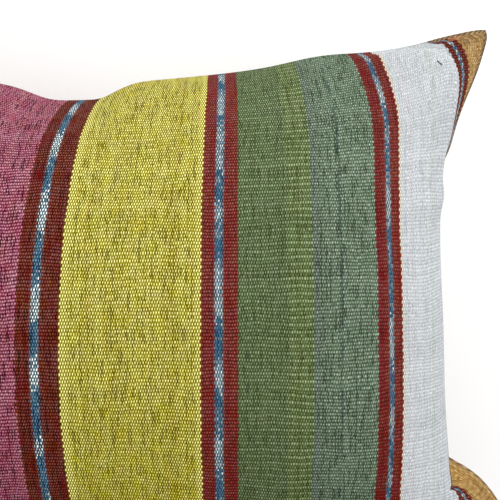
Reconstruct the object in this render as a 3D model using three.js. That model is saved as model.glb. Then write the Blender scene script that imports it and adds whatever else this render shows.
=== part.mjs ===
// A striped throw cushion, 60 by 40 cm: two woven panels sewn edge to edge over one soft filling.
// It lies on its back: +X is to the right of its face, +Y is towards its top seam and +Z is up.
// The origin is on the floor, under the middle of the cushion. Lengths are millimetres.
import * as THREE from "three";
import { ParametricGeometry } from "three/addons/geometries/ParametricGeometry.js";
import { mergeGeometries, mergeVertices } from "three/addons/utils/BufferGeometryUtils.js";

// The seam, seen from above: its corners and how far each side is drawn in at its middle.
const TIP_X = 294;
const TIP_Y = 202;
const SIDE_MIDDLE_X = 265.5;
const LONG_MIDDLE_Y = 165;
const SIDE_POWER = 2.9;
const LONG_POWER = 1.65;

// The crown stands this far above the seam. The floor flattens the back of the cushion.
const CROWN = 76;
const REST_DEPTH = 66;
const REST_BLEND = 4;
const CORNER_FULLNESS = 3.5;

// The slope of the cloth, in degrees, along each section from the crown (0) to the seam (1).
const LONG_SECTION = { flankSlope: 47.7, flankFrom: 0.51, flankTo: 0.87, seamTurn: 25 };
const SHORT_SECTION = { flankSlope: 30, flankFrom: 0.05, flankTo: 0.75, seamTurn: 26 };
const SEAM_TURN_POWER = 9;
const SECTION_STEPS = 60;

// Past the filling each corner is two plies of cloth lying on each other, the ear.
const EAR_HALF_THICKNESS = 1.5;
const EAR_ROUNDNESS = 7;
const EAR_FROM = 0.94;
const EAR_TO = 1.015;
const EAR_INSIDE = 0.4;
const EAR_OUTSIDE = 0.7;
const EAR_CURL = { at: 0.9, width: 0.06, from: 0.85, by: 6 };
const EAR_SIDE = { at: 0.865, width: 0.125, from: 0.94, out: 3.1 };
const EAR_END = { at: 0.98, width: 0.07, from: 0.94, out: 2.1 };
const EAR_TIP = { from: 0.972, in: 3.4, down: 1.6 };
const PLY_EDGE_POWER = 20;
const SEAM_CLOSE_POWER = 60;

// The filled body ends in a full, rounded shoulder that stands over each ear.
const SHOULDER = { growFrom: 0.45, growTo: 0.9, dropFrom: 0.945, dropTo: 1.02, rise: 9, up: 9.5, in: 0.8 };
const SHOULDER_CORNER = { power: 3, from: 0.1, to: 0.62 };

// The body also stands over the side seams between the ears.
const TUCK = { from: 0.9, depth: 10, fadeFrom: 0.42, fadeTo: 0.62 };
const SPLAYED_TUCK = { fadeFrom: 0.41, fadeTo: 0.5 };

// The stitches pull the top seam in at one place, near its middle, and it swells to the right.
const PUCKER = { at: 0.034, flat: 0.04, left: 0.09, right: 0.065, depth: 11, reach: 0.4 };
const TOP_SWELL = { at: 0.6, width: 0.1, out: 3.5, power: 4 };

// The right side leans, has a waist and a small knuckle, and its upper part is spread. The powers
// say how fast each fades from the seam towards the crown.
const SIDE_LEAN = 5;
const SIDE_LEAN_POWER = 4;
const SIDE_WAIST = { at: 0.45, width: 0.28, in: 4.5 };
const SIDE_KNUCKLE = { at: 0.41, width: 0.035, out: 4, power: 6 };
const UPPER_SPREAD = { atS: 0.7, widthS: 0.17, atT: 0.7, widthT: 0.22, out: 5 };

// The lower right ear splays out of the side and stands a little proud.
const SPLAY = { inner: 0.86, from: 0.455, to: 0.58, power: 2.2, fadeFrom: 0.6, out: 19 };
const SPLAY_LIFT = { to: 0.62, height: 26 };

// Each panel is divided into this many columns and rows, closer together near the seam.
const COLUMNS = 62;
const ROWS = 46;
const SPREAD = 0.9;

const MERGE_DISTANCE = 1e-3;
const CLOTH_COLOR = 0xb0a24a;
const CLOTH_ROUGHNESS = 0.85;

const { abs, cos, exp, max, min, pow, sign, sin } = Math;
const { clamp, degToRad, smoothstep } = THREE.MathUtils;

function hump(value, middle, width) {
  return exp(-(((value - middle) / width) ** 2));
}

// How far across (0 to 1) and how high (1 to 0) the cloth is at a fraction of its way to the seam.
function sectionAt(fraction, section) {
  let across = 0;
  let down = 0;
  let acrossAll = 0;
  let downAll = 0;
  for (let step = 0; step < SECTION_STEPS; step++) {
    const way = (step + 0.5) / SECTION_STEPS;
    const flank = section.flankSlope * smoothstep(way, section.flankFrom, section.flankTo);
    const slope = degToRad(flank + section.seamTurn * pow(way, SEAM_TURN_POWER));
    const share = clamp(fraction * SECTION_STEPS - step, 0, 1);
    across += share * cos(slope);
    down += share * sin(slope);
    acrossAll += cos(slope);
    downAll += sin(slope);
  }
  return { across: across / acrossAll, height: 1 - down / downAll };
}

// The back is pressed flat where it meets the floor, with a soft change of slope around the flat.
function pressed(depth) {
  const start = REST_DEPTH - REST_BLEND;
  const over = clamp(depth - start, 0, 2 * REST_BLEND);
  return depth > REST_DEPTH + REST_BLEND ? REST_DEPTH : depth - (over * over) / (4 * REST_BLEND);
}

// How far the seam and the cloth near it are moved from an even, symmetrical outline.
function outlineShift(s, t) {
  const fade = s > 0 && t < 0 ? SPLAYED_TUCK : TUCK;
  const tuck = smoothstep(abs(s), TUCK.from, 1) * (1 - smoothstep(abs(t), fade.fadeFrom, fade.fadeTo));
  let right = -sign(s) * TUCK.depth * tuck;
  if (s > 0) {
    const waist = SIDE_WAIST.in * hump(t, SIDE_WAIST.at, SIDE_WAIST.width);
    right -= (SIDE_LEAN * t * (1 - t * t) + waist) * pow(s, SIDE_LEAN_POWER);
    const knuckle = hump(t, SIDE_KNUCKLE.at, SIDE_KNUCKLE.width) * pow(s, SIDE_KNUCKLE.power);
    right += SIDE_KNUCKLE.out * knuckle;
  }
  if (s > 0 && t > 0) {
    const spreadAlong = hump(t, UPPER_SPREAD.atT, UPPER_SPREAD.widthT);
    right += UPPER_SPREAD.out * hump(s, UPPER_SPREAD.atS, UPPER_SPREAD.widthS) * spreadAlong;
  }
  let up = 0;
  if (t > 0) {
    const curl = hump(abs(s), EAR_CURL.at, EAR_CURL.width) * smoothstep(t, EAR_CURL.from, 1);
    right -= sign(s) * EAR_CURL.by * curl;
    const swell = hump(t, EAR_SIDE.at, EAR_SIDE.width) * smoothstep(abs(s), EAR_SIDE.from, 1);
    right += sign(s) * EAR_SIDE.out * swell;
    const topSwell = hump(s, TOP_SWELL.at, TOP_SWELL.width) * pow(t, TOP_SWELL.power);
    up += TOP_SWELL.out * topSwell;
    const beyond = max(abs(s - PUCKER.at) - PUCKER.flat, 0);
    const pull = hump(beyond, 0, s > PUCKER.at ? PUCKER.right : PUCKER.left);
    up -= PUCKER.depth * pull * smoothstep(t, 1 - PUCKER.reach, 1);
  }
  const endSwell = hump(abs(s), EAR_END.at, EAR_END.width) * smoothstep(abs(t), EAR_END.from, 1);
  up += sign(t) * EAR_END.out * endSwell;
  const tip = smoothstep(abs(s * t), EAR_TIP.from, 1);
  right -= sign(s) * EAR_TIP.in * tip;
  up -= sign(t) * EAR_TIP.down * tip;
  return { right, up };
}

// How high the cloth stands over the seam, the same to the front and to the back.
function bulgeAt(s, t, longHeight, shortHeight) {
  let full = 0;
  if (min(longHeight, shortHeight) > 0) {
    const both = pow(longHeight, -CORNER_FULLNESS) + pow(shortHeight, -CORNER_FULLNESS) - 1;
    full = pow(both, -1 / CORNER_FULLNESS);
  }
  const rounded = pow(pow(abs(s), EAR_ROUNDNESS) + pow(abs(t), EAR_ROUNDNESS), 1 / EAR_ROUNDNESS);
  const ear = smoothstep(rounded, EAR_FROM, EAR_TO) * smoothstep(abs(s * t), EAR_INSIDE, EAR_OUTSIDE);
  const ply = EAR_HALF_THICKNESS * (1 - pow(s, PLY_EDGE_POWER)) * (1 - pow(t, PLY_EDGE_POWER));
  const corner = smoothstep(abs(pow(s, SHOULDER_CORNER.power) * t), SHOULDER_CORNER.from, SHOULDER_CORNER.to);
  const grown = smoothstep(rounded, SHOULDER.growFrom, SHOULDER.growTo);
  const dropped = smoothstep(rounded, SHOULDER.dropFrom, SHOULDER.dropTo);
  const splayed = s > 0 ? smoothstep(-t, SPLAY.from, SPLAY.fadeFrom) : 0;
  const closed = (1 - pow(s, SEAM_CLOSE_POWER)) * (1 - pow(t, SEAM_CLOSE_POWER));
  const shoulder = corner * grown * (1 - dropped) * (1 - splayed) * closed;
  const bulge = (CROWN - EAR_HALF_THICKNESS) * full * (1 - ear) + ply + SHOULDER.rise * shoulder;
  return { bulge, shoulder };
}

// A point of the cover. s and t run from -1 to 1 over a flat panel, left to right and bottom to top.
// side is 1 on the face and -1 on the back, and both meet in the seam.
function coverPoint(s, t, side, target) {
  const long = sectionAt(abs(s), LONG_SECTION);
  const short = sectionAt(abs(t), SHORT_SECTION);
  const toEnd = pow(abs(t), SIDE_POWER);
  const toSide = pow(abs(s), LONG_POWER);
  const x = long.across * SIDE_MIDDLE_X * (1 - toEnd) + abs(s) * TIP_X * toEnd;
  const y = short.across * LONG_MIDDLE_Y * (1 - toSide) + abs(t) * TIP_Y * toSide;
  const { bulge, shoulder } = bulgeAt(s, t, long.height, short.height);

  const inward = smoothstep(s, SPLAY.inner, 1);
  const start = clamp((-t - SPLAY.from) / (SPLAY.to - SPLAY.from), 0, 1);
  const splay = (1 - pow(1 - start, SPLAY.power)) * (1 - smoothstep(-t, SPLAY.fadeFrom, 1));
  const lift = smoothstep(-t, SPLAY.from, SPLAY_LIFT.to);
  const { right, up } = outlineShift(s, t);

  target.set(
    sign(s) * (x - SHOULDER.in * shoulder) + right + SPLAY.out * splay * inward,
    sign(t) * (y + SHOULDER.up * shoulder) + up,
    REST_DEPTH + (side > 0 ? bulge : -pressed(bulge)) + SPLAY_LIFT.height * lift * inward,
  );
}

// A column's or row's place on the panel, from -1 to 1.
function spread(index, count) {
  return sin((((2 * index - count) / count) * SPREAD * Math.PI) / 2) / sin((SPREAD * Math.PI) / 2);
}

// One sewn panel as a surface whose faces point out of the cushion.
function panel(side) {
  const place = (u, v, target) => {
    const column = Math.round(u * COLUMNS);
    const row = Math.round(v * ROWS);
    const s = side * spread(column, COLUMNS);
    coverPoint(s, spread(row, ROWS), side, target);
  };
  const geometry = new ParametricGeometry(place, COLUMNS, ROWS);
  geometry.deleteAttribute("normal");
  geometry.deleteAttribute("uv");
  return geometry;
}

// The filled cover: the face and the back, closed along the seam.
function filledCover() {
  const closed = mergeVertices(mergeGeometries([panel(1), panel(-1)]), MERGE_DISTANCE);
  closed.computeVertexNormals();
  return closed;
}

const stripedCloth = new THREE.MeshStandardMaterial({ color: CLOTH_COLOR, roughness: CLOTH_ROUGHNESS });

const cushion = new THREE.Mesh(filledCover(), stripedCloth);
cushion.name = "cushion";

const throwCushion = new THREE.Group();
throwCushion.add(cushion);

export default throwCushion;
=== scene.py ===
from math import cos, exp, pi, radians, sin

import bmesh
import bpy
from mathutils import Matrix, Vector


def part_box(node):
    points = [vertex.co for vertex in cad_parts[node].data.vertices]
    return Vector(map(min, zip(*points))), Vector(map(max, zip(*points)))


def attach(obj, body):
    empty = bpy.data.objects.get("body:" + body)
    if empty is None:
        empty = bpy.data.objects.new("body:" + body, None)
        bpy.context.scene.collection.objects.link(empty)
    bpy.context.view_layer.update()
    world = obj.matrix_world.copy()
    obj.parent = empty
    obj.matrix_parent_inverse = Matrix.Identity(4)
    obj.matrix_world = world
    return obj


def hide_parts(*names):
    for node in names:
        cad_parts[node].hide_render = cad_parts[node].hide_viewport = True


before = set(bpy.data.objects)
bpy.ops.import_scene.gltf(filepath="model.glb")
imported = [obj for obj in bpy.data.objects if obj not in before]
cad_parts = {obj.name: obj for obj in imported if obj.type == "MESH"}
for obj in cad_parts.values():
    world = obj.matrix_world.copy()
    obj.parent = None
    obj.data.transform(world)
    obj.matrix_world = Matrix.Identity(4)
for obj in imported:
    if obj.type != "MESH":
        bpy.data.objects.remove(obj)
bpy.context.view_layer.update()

# The camera. It looks straight down at the face from about 27 cm above the crown, over the upper
# right part of the cushion, as for a close picture of the cloth.
CAMERA_RIGHT = 0.129
CAMERA_UP = 0.051
CAMERA_ABOVE_CROWN = 0.268
SENSOR_WIDTH = 36.0
LENS = 36.0
NEAREST = 0.01

crown_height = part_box("cushion")[1][2]
camera_data = bpy.data.cameras.new("camera")
camera_data.sensor_width = SENSOR_WIDTH
camera_data.lens = LENS
camera_data.clip_start = NEAREST
camera = bpy.data.objects.new("camera", camera_data)
camera.location = (CAMERA_RIGHT, CAMERA_UP, crown_height + CAMERA_ABOVE_CROWN)
bpy.context.scene.collection.objects.link(camera)
bpy.context.scene.camera = camera

# The floor and the light. A plain white floor under a bright, even sky, with one large soft lamp
# above the right of the cushion.
FLOOR_HALF = 3.0
FLOOR_WHITE = (0.93, 0.93, 0.93, 1)
FLOOR_ROUGHNESS = 0.9
FLOOR_GLOW = 0.08
WHITE_LIGHT = (1, 1, 1, 1)
SKY_STRENGTH = 0.69
LAMP_PLACE = (0.8, 1.2, 1.3)
LAMP_SIZE = 1.2
LAMP_POWER = 22.0

floor_shape = bmesh.new()
bmesh.ops.create_grid(floor_shape, x_segments=1, y_segments=1, size=FLOOR_HALF)
floor_mesh = bpy.data.meshes.new("floor")
floor_shape.to_mesh(floor_mesh)
floor_shape.free()
floor = bpy.data.objects.new("floor", floor_mesh)
bpy.context.scene.collection.objects.link(floor)
floor_paint = bpy.data.materials.new("white_floor")
floor_paint.use_nodes = True
floor_shader = floor_paint.node_tree.nodes["Principled BSDF"]
floor_shader.inputs["Base Color"].default_value = FLOOR_WHITE
floor_shader.inputs["Roughness"].default_value = FLOOR_ROUGHNESS
floor_shader.inputs["Emission Color"].default_value = WHITE_LIGHT
floor_shader.inputs["Emission Strength"].default_value = FLOOR_GLOW
floor_mesh.materials.append(floor_paint)

sky = bpy.data.worlds.new("sky")
sky.use_nodes = True
sky_light = sky.node_tree.nodes["Background"]
sky_light.inputs["Color"].default_value = WHITE_LIGHT
sky_light.inputs["Strength"].default_value = SKY_STRENGTH
bpy.context.scene.world = sky

lamp_data = bpy.data.lights.new("soft_lamp", "AREA")
lamp_data.size = LAMP_SIZE
lamp_data.energy = LAMP_POWER
lamp = bpy.data.objects.new("soft_lamp", lamp_data)
lamp.location = LAMP_PLACE
lamp.rotation_euler = (-Vector(LAMP_PLACE)).to_track_quat("-Z", "Y").to_euler()
bpy.context.scene.collection.objects.link(lamp)
bpy.context.scene.view_settings.view_transform = "Standard"

# The cushion. Two oblong panels of thick handwoven cotton are sewn together along all four edges
# and filled. It lies on its back. Between its four flat, pointed ears the seams are drawn in and
# the full body stands over them, and near the middle of the top the stitches pull the cloth in.
PANEL_WIDTH = 0.60
PANEL_HEIGHT = 0.40
GRID = 0.005
WELD = 1e-6

# The cloth is measured in millimetres from the middle of its panel. In the maps, which are in
# metres, the back's cloth lies BACK_OFFSET beyond the face's.
MM = 1000
HALF_WIDTH = PANEL_WIDTH * MM / 2
HALF_HEIGHT = PANEL_HEIGHT * MM / 2
BACK_OFFSET = 1.0

# The seam, seen from above: its corners, and the middles of its sides, which are drawn in.
TIP_X = 0.294
TIP_Y = 0.202
SIDE_MIDDLE_X = 0.2655
LONG_MIDDLE_Y = 0.165
SIDE_POWER = 2.9
LONG_POWER = 1.65

# The crown stands this far above the seam. The floor flattens the back of the cushion.
CROWN = 0.076
REST_DEPTH = 0.066
REST_BLEND = 0.004
CORNER_FULLNESS = 3.5

# The slope of the cloth, in degrees, along each section from the crown (0) to the seam (1).
LONG_SECTION = {"flank_slope": 47.7, "flank_from": 0.51, "flank_to": 0.87, "seam_turn": 25}
SHORT_SECTION = {"flank_slope": 30, "flank_from": 0.05, "flank_to": 0.75, "seam_turn": 26}
SEAM_TURN_POWER = 9
SECTION_STEPS = 60

# Past the filling each corner is two plies of cloth lying on each other, the ear. The filled body
# ends in a full, rounded shoulder that stands over it.
EAR_HALF_THICKNESS = 0.0015
EAR_ROUNDNESS = 7
EAR_FROM = 0.94
EAR_TO = 1.015
EAR_INSIDE = 0.4
EAR_OUTSIDE = 0.7
EAR_CURL = {"at": 0.9, "width": 0.06, "from": 0.85, "by": 0.006}
EAR_SIDE = {"at": 0.865, "width": 0.125, "from": 0.94, "out": 0.0031}
EAR_END = {"at": 0.98, "width": 0.07, "from": 0.94, "out": 0.0021}
EAR_TIP = {"from": 0.972, "in": 0.0034, "down": 0.0016}
PLY_EDGE_POWER = 20
SEAM_CLOSE_POWER = 60
SHOULDER = {"grow_from": 0.45, "grow_to": 0.90, "drop_from": 0.945, "drop_to": 1.02,
            "corner_power": 3, "corner_from": 0.10, "corner_to": 0.62,
            "rise": 0.009, "up": 0.0095, "in": 0.0008}

# The body stands over the side seams between the ears. The stitches pull the top seam in at one
# place, and the right side leans, has a waist and a small knuckle, and splays out at its lower ear.
TUCK = {"from": 0.90, "depth": 0.010, "fade_from": 0.42, "fade_to": 0.62}
SPLAYED_TUCK = {"fade_from": 0.41, "fade_to": 0.50}
PUCKER = {"at": 0.034, "flat": 0.040, "left": 0.09, "right": 0.065, "depth": 0.011, "reach": 0.4}
TOP_SWELL = {"at": 0.60, "width": 0.10, "out": 0.0035, "power": 4}
SIDE_LEAN = 0.005
SIDE_LEAN_POWER = 4
SIDE_WAIST = {"at": 0.45, "width": 0.28, "in": 0.0045}
SIDE_KNUCKLE = {"at": 0.41, "width": 0.035, "out": 0.004, "power": 6}
UPPER_SPREAD = {"at_s": 0.70, "width_s": 0.17, "at_t": 0.70, "width_t": 0.22, "out": 0.005}
SPLAY = {"inner": 0.86, "from": 0.455, "to": 0.58, "power": 2.2, "fade_from": 0.6,
         "out": 0.019, "lift_to": 0.62, "lift": 0.026}


def smoothstep(value, low, high):
    share = min(max((value - low) / (high - low), 0.0), 1.0)
    return share * share * (3 - 2 * share)


def hump(value, middle, width):
    return exp(-(((value - middle) / width)**2))


def sign(value):
    return 1.0 if value > 0 else -1.0 if value < 0 else 0.0


sections_seen = {}


def section_at(fraction, section):
    """How far across and how high the cloth is at a fraction of its way from crown to seam."""
    key = (round(fraction, 6), section["flank_slope"])
    if key not in sections_seen:
        across = down = across_all = down_all = 0.0
        for step in range(SECTION_STEPS):
            way = (step + 0.5) / SECTION_STEPS
            flank = section["flank_slope"] * smoothstep(way, section["flank_from"], section["flank_to"])
            slope = radians(flank + section["seam_turn"] * way**SEAM_TURN_POWER)
            share = min(max(fraction * SECTION_STEPS - step, 0.0), 1.0)
            across += share * cos(slope)
            down += share * sin(slope)
            across_all += cos(slope)
            down_all += sin(slope)
        sections_seen[key] = (across / across_all, 1 - down / down_all)
    return sections_seen[key]


def pressed(depth):
    """The back is pressed flat where it meets the floor."""
    over = min(max(depth - REST_DEPTH + REST_BLEND, 0.0), 2 * REST_BLEND)
    if depth > REST_DEPTH + REST_BLEND:
        return REST_DEPTH
    return depth - over * over / (4 * REST_BLEND)


def outline_shift(s, t):
    """How far the seam and the cloth near it are moved from an even, symmetrical outline."""
    splayed = s > 0 and t < 0
    fade = SPLAYED_TUCK if splayed else TUCK
    tuck = smoothstep(abs(s), TUCK["from"], 1) * (1 - smoothstep(abs(t), fade["fade_from"], fade["fade_to"]))
    right = -sign(s) * TUCK["depth"] * tuck
    if s > 0:
        waist = SIDE_WAIST["in"] * hump(t, SIDE_WAIST["at"], SIDE_WAIST["width"])
        right -= (SIDE_LEAN * t * (1 - t * t) + waist) * s**SIDE_LEAN_POWER
        knuckle = hump(t, SIDE_KNUCKLE["at"], SIDE_KNUCKLE["width"]) * s**SIDE_KNUCKLE["power"]
        right += SIDE_KNUCKLE["out"] * knuckle
    if s > 0 and t > 0:
        spread = hump(s, UPPER_SPREAD["at_s"], UPPER_SPREAD["width_s"])
        right += UPPER_SPREAD["out"] * spread * hump(t, UPPER_SPREAD["at_t"], UPPER_SPREAD["width_t"])
    up = 0.0
    if t > 0:
        curl = hump(abs(s), EAR_CURL["at"], EAR_CURL["width"]) * smoothstep(t, EAR_CURL["from"], 1)
        right -= sign(s) * EAR_CURL["by"] * curl
        swell = hump(t, EAR_SIDE["at"], EAR_SIDE["width"]) * smoothstep(abs(s), EAR_SIDE["from"], 1)
        right += sign(s) * EAR_SIDE["out"] * swell
        up += TOP_SWELL["out"] * hump(s, TOP_SWELL["at"], TOP_SWELL["width"]) * t**TOP_SWELL["power"]
        away = s - PUCKER["at"]
        beyond = max(abs(away) - PUCKER["flat"], 0.0)
        pull = hump(beyond, 0, PUCKER["right"] if away > 0 else PUCKER["left"])
        up -= PUCKER["depth"] * pull * smoothstep(t, 1 - PUCKER["reach"], 1)
    end_swell = hump(abs(s), EAR_END["at"], EAR_END["width"]) * smoothstep(abs(t), EAR_END["from"], 1)
    up += sign(t) * EAR_END["out"] * end_swell
    tip = smoothstep(abs(s * t), EAR_TIP["from"], 1)
    return right - sign(s) * EAR_TIP["in"] * tip, up - sign(t) * EAR_TIP["down"] * tip


def cover_point(s, t, side):
    """A point of the filled cover. s and t run from -1 to 1 over a flat panel."""
    long_across, long_height = section_at(abs(s), LONG_SECTION)
    short_across, short_height = section_at(abs(t), SHORT_SECTION)
    to_end = abs(t)**SIDE_POWER
    to_side = abs(s)**LONG_POWER
    x = long_across * SIDE_MIDDLE_X * (1 - to_end) + abs(s) * TIP_X * to_end
    y = short_across * LONG_MIDDLE_Y * (1 - to_side) + abs(t) * TIP_Y * to_side

    full = 0.0
    if min(long_height, short_height) > 0:
        full = (long_height**-CORNER_FULLNESS + short_height**-CORNER_FULLNESS - 1)**(-1 / CORNER_FULLNESS)
    rounded = (abs(s)**EAR_ROUNDNESS + abs(t)**EAR_ROUNDNESS)**(1 / EAR_ROUNDNESS)
    ear = smoothstep(rounded, EAR_FROM, EAR_TO) * smoothstep(abs(s * t), EAR_INSIDE, EAR_OUTSIDE)
    ply = EAR_HALF_THICKNESS * (1 - s**PLY_EDGE_POWER) * (1 - t**PLY_EDGE_POWER)
    corner = smoothstep(abs(s**SHOULDER["corner_power"] * t), SHOULDER["corner_from"], SHOULDER["corner_to"])
    shoulder = corner * smoothstep(rounded, SHOULDER["grow_from"], SHOULDER["grow_to"])
    shoulder *= 1 - smoothstep(rounded, SHOULDER["drop_from"], SHOULDER["drop_to"])
    shoulder *= (1 - s**SEAM_CLOSE_POWER) * (1 - t**SEAM_CLOSE_POWER)
    if s > 0:
        shoulder *= 1 - smoothstep(-t, SPLAY["from"], SPLAY["fade_from"])
    bulge = (CROWN - EAR_HALF_THICKNESS) * full * (1 - ear) + ply + SHOULDER["rise"] * shoulder

    inward = smoothstep(s, SPLAY["inner"], 1)
    start = min(max((-t - SPLAY["from"]) / (SPLAY["to"] - SPLAY["from"]), 0.0), 1.0)
    splay = (1 - (1 - start)**SPLAY["power"]) * (1 - smoothstep(-t, SPLAY["fade_from"], 1))
    lift = smoothstep(-t, SPLAY["from"], SPLAY["lift_to"])
    right, up = outline_shift(s, t)
    return Vector((
        sign(s) * (x - SHOULDER["in"] * shoulder) + right + SPLAY["out"] * splay * inward,
        sign(t) * (y + SHOULDER["up"] * shoulder) + up,
        REST_DEPTH + (bulge if side > 0 else -pressed(bulge)) + SPLAY["lift"] * lift * inward,
    ))


# Near the right ears the cloth is drawn round the filling, so that its stripes bend there, and
# between the ears the side takes them in. All lengths are in millimetres of cloth.
SIDE_BEND = {"by": 24, "over": 42, "share": 0.35, "from": 235, "to": 275, "end_from": 125, "end_to": 275}
TUCKED_BEND = {"latest": 270, "side": 284, "earlier": 40, "top": 14, "over": 20, "width": 8,
               "top_width": 24, "top_over": 10, "more_width": 14, "more_from": 34, "more_to": 80}
TOP_BEND = {"by": 11, "inner_by": 12, "inner_from": 266, "inner_to": 276, "over": 2.6, "from": 256, "to": 264}
LOWER_EAR_BEND = {"by": 18, "begin": 40, "full": 87, "top": 90.5, "bottom": 97.5, "from": 270.5, "at": 92,
                  "lean": 1.5, "latest": 276, "blend": 1.2, "fade_from": 270, "fade_to": 296}


def bent_across(across, along):
    """How far right a point of the face's cloth is, with the bends of the stripes at the right ears."""
    if across < 0:
        return across
    down = HALF_HEIGHT - along
    tuck = TUCKED_BEND
    earlier = tuck["earlier"] * exp((tuck["top"] - down) / tuck["over"])
    tucked_from = min(tuck["side"] - earlier, tuck["latest"])
    tucked_width = tuck["width"] + tuck["top_width"] * exp(-down / tuck["top_over"])
    tucked_width += tuck["more_width"] * smoothstep(down, tuck["more_from"], tuck["more_to"])
    tucked = smoothstep(across, tucked_from, tucked_from + tucked_width)
    side = SIDE_BEND
    bend = side["share"] * smoothstep(across, side["from"], side["to"]) + (1 - side["share"]) * tucked
    bend *= side["by"] * (1 - exp(-down / side["over"]))
    bend *= 1 - smoothstep(down, side["end_from"], side["end_to"])
    top = TOP_BEND
    at_top = top["by"] + top["inner_by"] * (1 - smoothstep(across, top["inner_from"], top["inner_to"]))
    bend -= at_top * exp(-down / top["over"]) * smoothstep(across, top["from"], top["to"])
    ear = LOWER_EAR_BEND
    start = min(ear["from"] + ear["lean"] * (ear["at"] + along), ear["latest"])
    outward = ear["by"] * smoothstep(across, start, start + ear["blend"])
    outward *= smoothstep(-along, ear["begin"], ear["full"]) - smoothstep(-along, ear["top"], ear["bottom"])
    bend -= outward * (1 - smoothstep(across, ear["fade_from"], ear["fade_to"]))
    return across - bend


cover = bmesh.new()
panel_map = cover.loops.layers.uv.new("panel")
from_seam = cover.verts.layers.float.new("from_seam")
seam_edge = cover.edges.layers.float.new("crease_edge")
columns = round(PANEL_WIDTH / GRID)
rows = round(PANEL_HEIGHT / GRID)
for side in (1, -1):
    panel = bmesh.ops.create_grid(cover, x_segments=columns, y_segments=rows, size=1.0)["verts"]
    faces = {face for vert in panel for face in vert.link_faces}
    for face in faces:
        for loop in face.loops:
            s, t = loop.vert.co.xy
            loop[panel_map].uv = (s * PANEL_WIDTH / 2, t * PANEL_HEIGHT / 2 + BACK_OFFSET * (side < 0))
    for vert in panel:
        s, t = vert.co.xy
        vert[from_seam] = min((1 - abs(s)) * PANEL_WIDTH / 2, (1 - abs(t)) * PANEL_HEIGHT / 2)
        vert.co = cover_point(s, t, side)
    if side < 0:
        bmesh.ops.reverse_faces(cover, faces=list(faces))
for edge in cover.edges:
    edge[seam_edge] = float(edge.is_boundary)
bmesh.ops.remove_doubles(cover, verts=cover.verts, dist=WELD)
for face in cover.faces:
    face.smooth = True
cushion_mesh = bpy.data.meshes.new("cushion_cover")
cover.to_mesh(cushion_mesh)
cover.free()
cushion = bpy.data.objects.new("cushion_cover", cushion_mesh)
bpy.context.scene.collection.objects.link(cushion)

# The cloth is a little too long for its seams. The stitches and the floor hold it while the
# filling presses the slack along the seams out into soft wrinkles.
SLACK = 0.05
SLACK_REACH = 0.03
FILLING_PRESSURE = 1.5
SETTLING_STEPS = 30
FARTHEST_MOVE = 0.004
ON_FLOOR = 1e-4
THICK_COTTON = {
    "quality": 5, "mass": 0.3, "air_damping": 2.0,
    "tension_stiffness": 15, "compression_stiffness": 15, "shear_stiffness": 5, "bending_stiffness": 0.3,
    "tension_damping": 5, "compression_damping": 5, "shear_damping": 5, "bending_damping": 0.5,
}


def as_modified(piece):
    """A piece's mesh as its modifiers leave it."""
    return bpy.data.meshes.new_from_object(piece.evaluated_get(bpy.context.evaluated_depsgraph_get()))


held = cushion.vertex_groups.new(name="held")
slack = cushion.vertex_groups.new(name="slack")
for vert, distance in zip(cushion_mesh.vertices, cushion_mesh.attributes["from_seam"].data):
    if distance.value < WELD or vert.co.z < ON_FLOOR:
        held.add([vert.index], 1.0, "REPLACE")
    slack.add([vert.index], exp(-(distance.value / SLACK_REACH)**2), "REPLACE")
settling = cushion.modifiers.new("settling", "CLOTH")
settling.collision_settings.use_collision = False
settling.point_cache.frame_end = SETTLING_STEPS
settings = settling.settings
for name, setting in THICK_COTTON.items():
    setattr(settings, name, setting)
settings.vertex_group_mass = held.name
settings.vertex_group_shrink = slack.name
settings.shrink_min = 0.0
settings.shrink_max = -SLACK
settings.use_pressure = True
settings.uniform_pressure_force = FILLING_PRESSURE
settings.effector_weights.gravity = 0
for step in range(1, SETTLING_STEPS + 1):
    bpy.context.scene.frame_set(step)
for vert, moved in zip(cushion_mesh.vertices, as_modified(cushion).vertices):
    move = moved.co - vert.co
    if move.length > FARTHEST_MOVE:
        move.length = FARTHEST_MOVE
    vert.co += move
    vert.co.z = max(vert.co.z, 0.0)
cushion.modifiers.clear()
cushion.vertex_groups.clear()
bpy.context.scene.frame_set(1)

finer = cushion.modifiers.new("finer", "SUBSURF")
finer.levels = 1
cushion.data = as_modified(cushion)
cushion.modifiers.clear()
cushion_mesh = cushion.data

# The face's cloth follows the bends, and the back's lies straight.
cloth_map = cushion_mesh.uv_layers.new(name="cloth").uv
for corner, flat in enumerate(cushion_mesh.uv_layers["panel"].uv):
    across, along = flat.vector
    if along < BACK_OFFSET / 2:
        across = bent_across(across * MM, along * MM) / MM
    cloth_map[corner].vector = (across, along)

# The weave, in millimetres of cloth. The warp ends cover the weft. Every second end floats over a
# pick while its neighbours dip under it, so that the floats lie like bricks and leave small pits.
RIB = 2.05
END = 0.70
FLOAT_SLANT = 0.12
FLOAT_HEIGHT = 0.9
ODD_FLOAT_MORE = 0.2

# Hand weaving wanders a little. Its ends drift, its picks are a little bowed and unevenly beaten.
# "across" and "along" say how long the features of a pattern are.
DRIFT = {"across": 30, "along": 18, "by": 0.9}
BOW = {"across": 45, "along": 60, "by": 5.0}
BEAT = {"across": 9, "along": 14, "by": 0.7}
FIBRES = {"across": 0.45, "along": 1.6}

# The dye is uneven in long patches along the warp. Towards the bottom of the panels the more uneven stripes
# are painted darker and more saturated, as painted shade.
END_SEED = 3.0
PICK_SEED = 7.0
HUE_PATCH = {"across": 4.5, "along": 16, "by": 0.025, "by_end": 0.01}
STRENGTH_PATCH = {"across": 7, "along": 11, "beyond": 50, "by": 0.2}
PAINTED_SHADE_BELOW = {"from": -0.1, "over": 100, "uneven": 0.6, "stronger": 0.07, "darker": 0.13}
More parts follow.
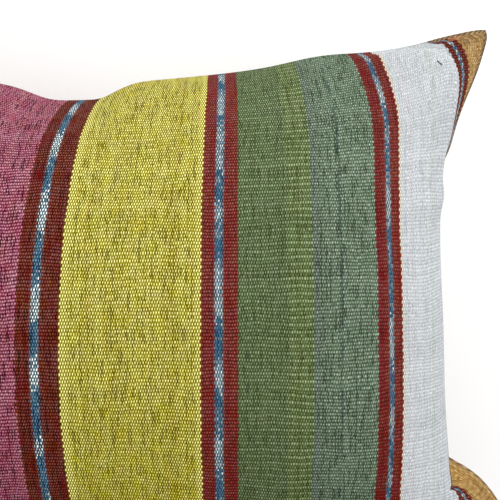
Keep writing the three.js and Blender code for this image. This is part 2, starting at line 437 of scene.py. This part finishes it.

# Thin dark streaks are painted along the ends: darker where a thread is thick, and painted shade in the gap
# where a thread parts from its neighbour.
STREAK = {"slant": 0.3, "half_width": 0.34, "apart": 7.3, "along": 12, "over": 0.655, "share": 0.25}
STREAK_COLOUR = (0.12, 0.10, 0.085)

# Each end, float, fibre, streak and pick makes its place a little lighter or darker. One step of
# tone makes the cloth TONE_STEP times as light.
TONE = {"end": 0.45, "float": 0.35, "fibre": 2.2, "streak": 1.3, "pick": 0.08, "uneven_pick": 0.15}
TONE_STEP = 1.37
HIGHEST_TONE = 2.0
SCREEN_GAMMA = 2.2

# The stripes from the middle of the pink outwards, the same to both sides. After a width and a colour come
# the contrast of the floats, which paints a highlight on them and shade in the pits between them, the
# contrast of the ribs, which paints shade between them, the contrast of every second rib, and the unevenness.
PINK_MIDDLE = -35.0
PINK = (0.256, 0.067, 0.100)
DARK_RED = (0.115, 0.0190, 0.0110)
RED = (0.155, 0.0238, 0.0182)
BRIGHT_YELLOW = (0.42, 0.38, 0.06)
YELLOW = (0.352, 0.308, 0.034)
OLIVE = (0.093, 0.130, 0.054)
LIGHT_OLIVE = (0.112, 0.152, 0.055)
GREY_GREEN = (0.106, 0.140, 0.104)
BLUE_GREEN = (0.116, 0.162, 0.106)
DARK_BLUE_GREEN = (0.052, 0.086, 0.068)
CREAM = (0.55, 0.47, 0.36)
WHITE = (0.517, 0.544, 0.562)
ROSY_WHITE = (0.520, 0.515, 0.538)
GREENISH_WHITE = (0.498, 0.540, 0.522)
ORANGE = (0.400, 0.250, 0.100)
STRIPES = [
    (38.0, PINK, 1.25, 1.3, 0.05, 1.8),
    (24.5, DARK_RED, 1.7, 1.25, 0.0, 1.5),
    (3.0, BRIGHT_YELLOW, 2.0, 0.3, 0.0, 0.2),
    (68.8, YELLOW, 1.9, 0.27, 0.0, 1.0),
    (2.5, BRIGHT_YELLOW, 2.0, 0.3, 0.0, 0.2),
    (19.5, RED, 1.3, 0.95, 0.0, 0.95),
    (27.2, OLIVE, 1.4, 0.38, 0.18, 0.9),
    (14.0, LIGHT_OLIVE, 1.2, 0.38, 0.35, 0.9),
    (3.0, GREY_GREEN, 1.1, 0.6, 0.1, 0.9),
    (32.5, BLUE_GREEN, 0.9, 0.6, 0.05, 1.1),
    (17.3, RED, 0.7, 0.7, 0.0, 1.0),
    (1.4, CREAM, 0.8, 0.2, 0.0, 0.0),
    (5.5, WHITE, 0.35, 0.15, 0.0, 0.45),
    (3.0, ROSY_WHITE, 0.35, 0.15, 0.0, 0.45),
    (18.0, WHITE, 0.35, 0.15, 0.0, 0.45),
    (4.0, GREENISH_WHITE, 0.35, 0.15, 0.0, 0.45),
    (24.8, WHITE, 0.35, 0.15, 0.0, 0.45),
    (9.0, DARK_RED, 1.0, 0.9, 0.0, 0.5),
    (19.0, ORANGE, 0.5, 0.15, 0.0, 0.8),
]

# One end in the blue-green is darker now and then.
DARKER_END = {"from_pink": 213.2, "along": 13, "across": 40, "over": 0.5, "share": 0.8}

# The guard lines in the red stripes are tied and dyed before weaving. Their lengths of blue and
# of undyed cotton follow one another from the top seam down, and their ends run into each other.
# A row gives where the line lies, the share of blue in its undyed lengths, the flecks in its blue
# lengths, and the lengths.
BLUE = (0.036, 0.100, 0.158)
UNDYED = (0.43, 0.49, 0.46)
RESIST_EDGE = (0.10, 0.07, 0.10)
LAST_LENGTH = 23.0
RAGGED = {"by_end": 7, "by_float": 9, "middle": 8}
BLUE_PITS = 0.45
BLUE_FLOATS = {"over": 0.72, "share": 0.3}
UNDYED_FLOATS = 0.3
LINE_EDGE = {"from": 0.72, "share": 0.5}
LINE_FLATTER = 0.8
GUARD_LINES = [
    (47.0, 52.0, 0.0, 0.08, [10, 19, 27, 24, 26, 26, 29, 22, 22, 21, 30, 12, 30]),
    (144.8, 149.7, 0.25, 0.3, [1, 12, 16, 18, 13, 35, 21, 12, 24, 32, 25, 14, 28, 23]),
    (241.0, 244.6, 0.1, 0.3, [1, 19, 15, 22, 14, 13, 21, 26, 55, 27, 24, 11, 28, 10, 20]),
    (311.1, 313.4, 0.25, 0.3, [1, 6, 8, 9, 12, 60, 20]),
]

# Along the ears the turned edge is overcast with a dark and a pale thread. Where the ears end at
# the top and bottom seams the face has frayed dark dashes and, on the right, a worn reddish patch.
# One loose end of dark thread lies on the white near the top right ear.
OVERCAST = {"width": 2.1, "pitch": 3.2, "across": 34.0, "down": 112.0, "share": 0.85}
FRAYED = {"width": 8.0, "across": 17.0, "share": 0.5}
WORN = {"width": 4.0, "from_side": 20.0, "half_length": 4.0, "share": 0.6, "least": 0.5}
SALMON = (0.50, 0.19, 0.11)
DARK_THREAD = (0.085, 0.042, 0.022)
DARK_THREAD_SHARE = 0.85
PALE_THREAD = (0.50, 0.36, 0.20)
PALE_LEAST = 0.3
LOOSE_THREAD = (0.012, 0.012, 0.02)
LOOSE_END = {"across": 254.2, "along": 163.1, "turn": -0.85, "half_length": 2.8, "half_width": 0.5,
             "bow": 0.05, "middle": 0.2, "share": 0.9}

# Cotton is matt. The relief of the weave is shown by bump, and also by the painted highlight and shade of its
# floats, pits and ribs.
ROUGHNESS = 0.85
SPECULAR = 0.04
BUMP_STRENGTH = 0.5
BUMP_DEPTH = 0.0003


class Value:
    """A socket of the cloth's shader, wrapped so that its maths reads as a formula."""

    def __init__(self, tree, socket):
        self.tree = tree
        self.socket = socket

    def make(self, kind, settings, sockets, output=0):
        """Make a node of a kind, with its settings first and then its sockets."""
        node = self.tree.nodes.new(kind)
        for name, setting in settings.items():
            setattr(node, name, setting)
        for name, value in sockets.items():
            if isinstance(value, Value):
                self.tree.links.new(value.socket, node.inputs[name])
            else:
                node.inputs[name].default_value = value
        return Value(self.tree, node.outputs[output])

    def math(self, operation, *values):
        return self.make("ShaderNodeMath", {"operation": operation}, dict(enumerate(values)))

    def __add__(self, other):
        return self.math("ADD", self, other)

    def __radd__(self, other):
        return self.math("ADD", other, self)

    def __sub__(self, other):
        return self.math("SUBTRACT", self, other)

    def __rsub__(self, other):
        return self.math("SUBTRACT", other, self)

    def __mul__(self, other):
        return self.math("MULTIPLY", self, other)

    def __rmul__(self, other):
        return self.math("MULTIPLY", other, self)

    def __truediv__(self, other):
        return self.math("DIVIDE", self, other)

    def __gt__(self, other):
        return self.math("GREATER_THAN", self, other)

    def __lt__(self, other):
        return self.math("LESS_THAN", self, other)

    def __abs__(self):
        return self.math("ABSOLUTE", self)

    def floor(self):
        return self.math("FLOOR", self)

    def cosine(self):
        return self.math("COSINE", self)

    def __rpow__(self, other):
        return self.math("POWER", other, self)

    def point(self, other):
        return self.make("ShaderNodeCombineXYZ", {}, {0: self, 1: other})

    def part(self, name):
        """One part of a point or of a colour."""
        kind = "ShaderNodeSeparateXYZ" if name in "XY" else "ShaderNodeSeparateColor"
        return self.make(kind, {}, {0: self}, name)

    def noise(self, other, detail=2.0):
        """Smooth noise, between about 0.3 and 0.7."""
        return self.make("ShaderNodeTexNoise", {"noise_dimensions": "2D"},
                         {"Vector": self.point(other), "Scale": 1.0, "Detail": detail})

    def chance(self, other):
        """A random number from 0 to 1 for each pair of whole numbers."""
        return self.make("ShaderNodeTexWhiteNoise", {"noise_dimensions": "2D"}, {"Vector": self.point(other)})

    def mix(self, other, share):
        """This colour with a share of another one."""
        return self.make("ShaderNodeMix", {"data_type": "RGBA"}, {0: share, 6: self, 7: other}, 2)

    def lightened(self, gain):
        """This colour lighter or darker by a gain, its highlights paler and its shadows deeper in hue."""
        seen = self.make("ShaderNodeGamma", {}, {"Color": self, "Gamma": 1 / SCREEN_GAMMA})
        grey = seen.make("ShaderNodeRGBToBW", {}, {"Color": seen})
        shifted = seen.make("ShaderNodeVectorMath", {"operation": "ADD"}, {0: seen, 1: grey * (gain - 1)})
        shifted = shifted.make("ShaderNodeVectorMath", {"operation": "MAXIMUM"}, {0: shifted, 1: (0, 0, 0)})
        return shifted.make("ShaderNodeGamma", {}, {"Color": shifted, "Gamma": SCREEN_GAMMA})

    def steps(self, starts, colours):
        """Bands of one colour each. They begin at the given parts of the whole, from 0 to 1."""
        ramp = self.make("ShaderNodeValToRGB", {}, {0: self})
        bands = ramp.socket.node.color_ramp
        bands.interpolation = "CONSTANT"
        for number, (start, colour) in enumerate(zip(starts, colours)):
            band = bands.elements[number] if number < 2 else bands.elements.new(start)
            band.position = start
            band.color = colour
        return ramp


def running_starts(lengths, whole):
    """Where each of the lengths begins, as a part of the whole."""
    return [sum(lengths[:number]) / whole for number in range(len(lengths))]


cloth = bpy.data.materials.new("striped_cloth")
cloth.use_nodes = True
tree = cloth.node_tree
shader = tree.nodes["Principled BSDF"]
cloth_map_node = tree.nodes.new("ShaderNodeUVMap")
cloth_map_node.uv_map = "cloth"
place = Value(tree, cloth_map_node.outputs["UV"])
across = place.part("X") * MM
along = place.part("Y") * MM
on_back = along > BACK_OFFSET * MM / 2
on_face = 1 - on_back
along = along - BACK_OFFSET * MM * on_back
panel_map_node = tree.nodes.new("ShaderNodeUVMap")
panel_map_node.uv_map = "panel"
flat_across = Value(tree, panel_map_node.outputs["UV"]).part("X") * MM
from_side = HALF_WIDTH - abs(flat_across)
from_end = HALF_HEIGHT - abs(along)
from_edge = from_side.math("MINIMUM", from_side, from_end)


def pattern(size, detail=2.0):
    """Smooth noise over the cloth, with features as long as the size says."""
    return (across / size["across"]).noise(along / size["along"], detail)


wander_across = pattern(DRIFT) * DRIFT["by"]
wander_along = pattern(BOW) * BOW["by"] + pattern(BEAT) * BEAT["by"]
pick = (along + wander_along) / RIB
row = pick.floor()
rise = pick - row - 0.5
odd = row.math("FLOORED_MODULO", row, 2.0)
end_place = (across + wander_across) / END
pair = 0.5 * end_place + 0.5 * odd - FLOAT_SLANT * rise
float_number = pair.floor()
beside = pair - float_number - 0.5
end = 2 * float_number - odd
end_middle = (end + 1) * END
floats = (2 * pi * beside).cosine() * (pi * rise).cosine() * (FLOAT_HEIGHT + ODD_FLOAT_MORE * odd)
ribs = (2 * pi * rise).cosine()
every_second_rib = 2 * odd - 1

from_pink = abs(end_middle - PINK_MIDDLE)
widths = [width for width, *rest in STRIPES]
stripe_starts = running_starts(widths, sum(widths))
from_pink_share = from_pink / sum(widths)
dyed = from_pink_share.steps(stripe_starts, [colour + (1,) for width, colour, *rest in STRIPES])
contrasts = from_pink_share.steps(stripe_starts, [tuple(rest) for width, colour, *rest in STRIPES])
float_highlight_and_pit_shade = contrasts.part("Red")
rib_groove_shade = contrasts.part("Green")
second_contrast = contrasts.part("Blue")
unevenness = Value(tree, contrasts.socket.node.outputs["Alpha"])

end_chance = end.chance(END_SEED)
float_chance = end.chance(row)
pick_chance = row.chance(PICK_SEED)
fibre = pattern(FIBRES, 0.0) - 0.5
hue_patch = pattern(HUE_PATCH, 1.0) - 0.5
hue = 0.5 + HUE_PATCH["by"] * hue_patch * unevenness + HUE_PATCH["by_end"] * (end_chance - 0.5)
beyond = along / STRENGTH_PATCH["along"] + STRENGTH_PATCH["beyond"]
strength = (across / STRENGTH_PATCH["across"]).noise(beyond, 1.0) - 0.5
# Painted shade: the more uneven stripes grow darker and more saturated towards the bottom of the panels.
deeper = PAINTED_SHADE_BELOW["from"] - along / PAINTED_SHADE_BELOW["over"]
deeper = deeper.math("MAXIMUM", deeper, 0.0)
deeper = deeper.math("MINIMUM", deeper, 1.0) * (unevenness > PAINTED_SHADE_BELOW["uneven"])
saturation = 1 + STRENGTH_PATCH["by"] * strength * unevenness + PAINTED_SHADE_BELOW["stronger"] * deeper
dyed = dyed.make("ShaderNodeHueSaturation", {},
                 {"Color": dyed, "Hue": hue, "Saturation": saturation,
                  "Value": 1 - PAINTED_SHADE_BELOW["darker"] * deeper})

now_and_then = (along / DARKER_END["along"]).noise(across / DARKER_END["across"], 0.0) > DARKER_END["over"]
darker = (abs(from_pink - DARKER_END["from_pink"]) < END) * now_and_then
dyed = dyed.mix(DARK_BLUE_GREEN + (1,), DARKER_END["share"] * darker)

# Painted dark streaks along the ends, partly the thick thread's own darker tone and partly painted shade in
# the gaps between threads.
slanted = end_place + STREAK["slant"] * rise
column = slanted.floor()
thin = abs(slanted - column - 0.5) < STREAK["half_width"]
here = (column * STREAK["apart"]).noise(along / STREAK["along"], 0.0) > STREAK["over"]
streak = thin * here * unevenness
dyed = dyed.mix(STREAK_COLOUR + (1,), STREAK["share"] * streak)

for band_from, band_to, blue_share, fleck, lengths in GUARD_LINES:
    while sum(lengths) < 2 * HALF_HEIGHT:
        lengths = lengths + [LAST_LENGTH]
    starts = running_starts(lengths, 2 * HALF_HEIGHT)
    colours = [(BLUE if number % 2 == 0 else UNDYED) + (1,) for number in range(len(lengths))]
    ragged = end_chance * RAGGED["by_end"] + float_chance * RAGGED["by_float"] - RAGGED["middle"]
    from_top = (HALF_HEIGHT - along + ragged) / (2 * HALF_HEIGHT)
    tied = from_top.steps(starts, colours).mix(BLUE + (1,), blue_share)
    blue_floats = BLUE_FLOATS["share"] * (float_chance > BLUE_FLOATS["over"])
    tied = tied.mix(BLUE + (1,), (BLUE_PITS - BLUE_PITS * floats) + blue_floats)
    tied = tied.mix(UNDYED + (1,), fleck * (float_chance < UNDYED_FLOATS))
    inside = (from_pink > band_from) * (from_pink < band_to)
    from_middle = abs(from_pink - (band_from + band_to) / 2) * (2 / (band_to - band_from))
    tied = tied.mix(RESIST_EDGE + (1,), LINE_EDGE["share"] * (from_middle > LINE_EDGE["from"]))
    dyed = dyed.mix(tied, inside)
    rib_groove_shade = rib_groove_shade - LINE_FLATTER * inside

# Painted highlight on the raised floats, painted shade in the pits between them and in the grooves between
# the ribs, and every second rib lighter or darker by its ends' own shade.
tone = float_highlight_and_pit_shade * floats + rib_groove_shade * ribs + second_contrast * every_second_rib
by_thread = TONE["end"] * (end_chance - 0.5) + TONE["float"] * (float_chance - 0.5)
tone = tone + unevenness * (by_thread + TONE["fibre"] * fibre - TONE["streak"] * streak)
tone = tone + (TONE["pick"] + TONE["uneven_pick"] * unevenness) * (pick_chance - 0.5)
woven = dyed.lightened(TONE_STEP**tone.math("MINIMUM", tone, HIGHEST_TONE))

worn = (from_end < WORN["width"]) * (abs(from_side - WORN["from_side"]) < WORN["half_length"]) * on_face
worn_share = WORN["least"] + (1 - WORN["least"]) * float_chance
woven = woven.mix(SALMON + (1,), WORN["share"] * worn * (across > 0) * worn_share)
frayed = (from_end < FRAYED["width"]) * (from_side < FRAYED["across"]) * (end_chance > 0.5) * on_face
woven = woven.mix(DARK_THREAD + (1,), FRAYED["share"] * frayed)
run = (from_side - from_end) / OVERCAST["pitch"]
pale = (run - run.floor() > 0.5) * ((1 - PALE_LEAST) * float_chance + PALE_LEAST)
overcast = woven.mix(DARK_THREAD + (1,), DARK_THREAD_SHARE).mix(PALE_THREAD + (1,), pale)
on_ear = (from_side < OVERCAST["across"]) * (from_end < OVERCAST["down"])
woven = woven.mix(overcast, OVERCAST["share"] * (from_edge < OVERCAST["width"]) * on_ear)

right_of = flat_across - LOOSE_END["across"]
above = along - LOOSE_END["along"]
lengthwise = right_of * cos(LOOSE_END["turn"]) + above * sin(LOOSE_END["turn"])
sideways = above * cos(LOOSE_END["turn"]) - right_of * sin(LOOSE_END["turn"])
bowed = sideways - LOOSE_END["bow"] * lengthwise * lengthwise + LOOSE_END["middle"]
loose = (abs(lengthwise) < LOOSE_END["half_length"]) * (abs(bowed) < LOOSE_END["half_width"])
woven = woven.mix(LOOSE_THREAD + (1,), LOOSE_END["share"] * loose * on_face)

tree.links.new(woven.socket, shader.inputs["Base Color"])
shader.inputs["Roughness"].default_value = ROUGHNESS
shader.inputs["Specular IOR Level"].default_value = SPECULAR
relief = 0.5 * ribs + 0.5 * floats
bump = relief.make("ShaderNodeBump", {},
                   {"Strength": BUMP_STRENGTH, "Distance": BUMP_DEPTH, "Height": relief})
tree.links.new(bump.socket, shader.inputs["Normal"])
cushion_mesh.materials.append(cloth)
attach(cushion, "root")
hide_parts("cushion")
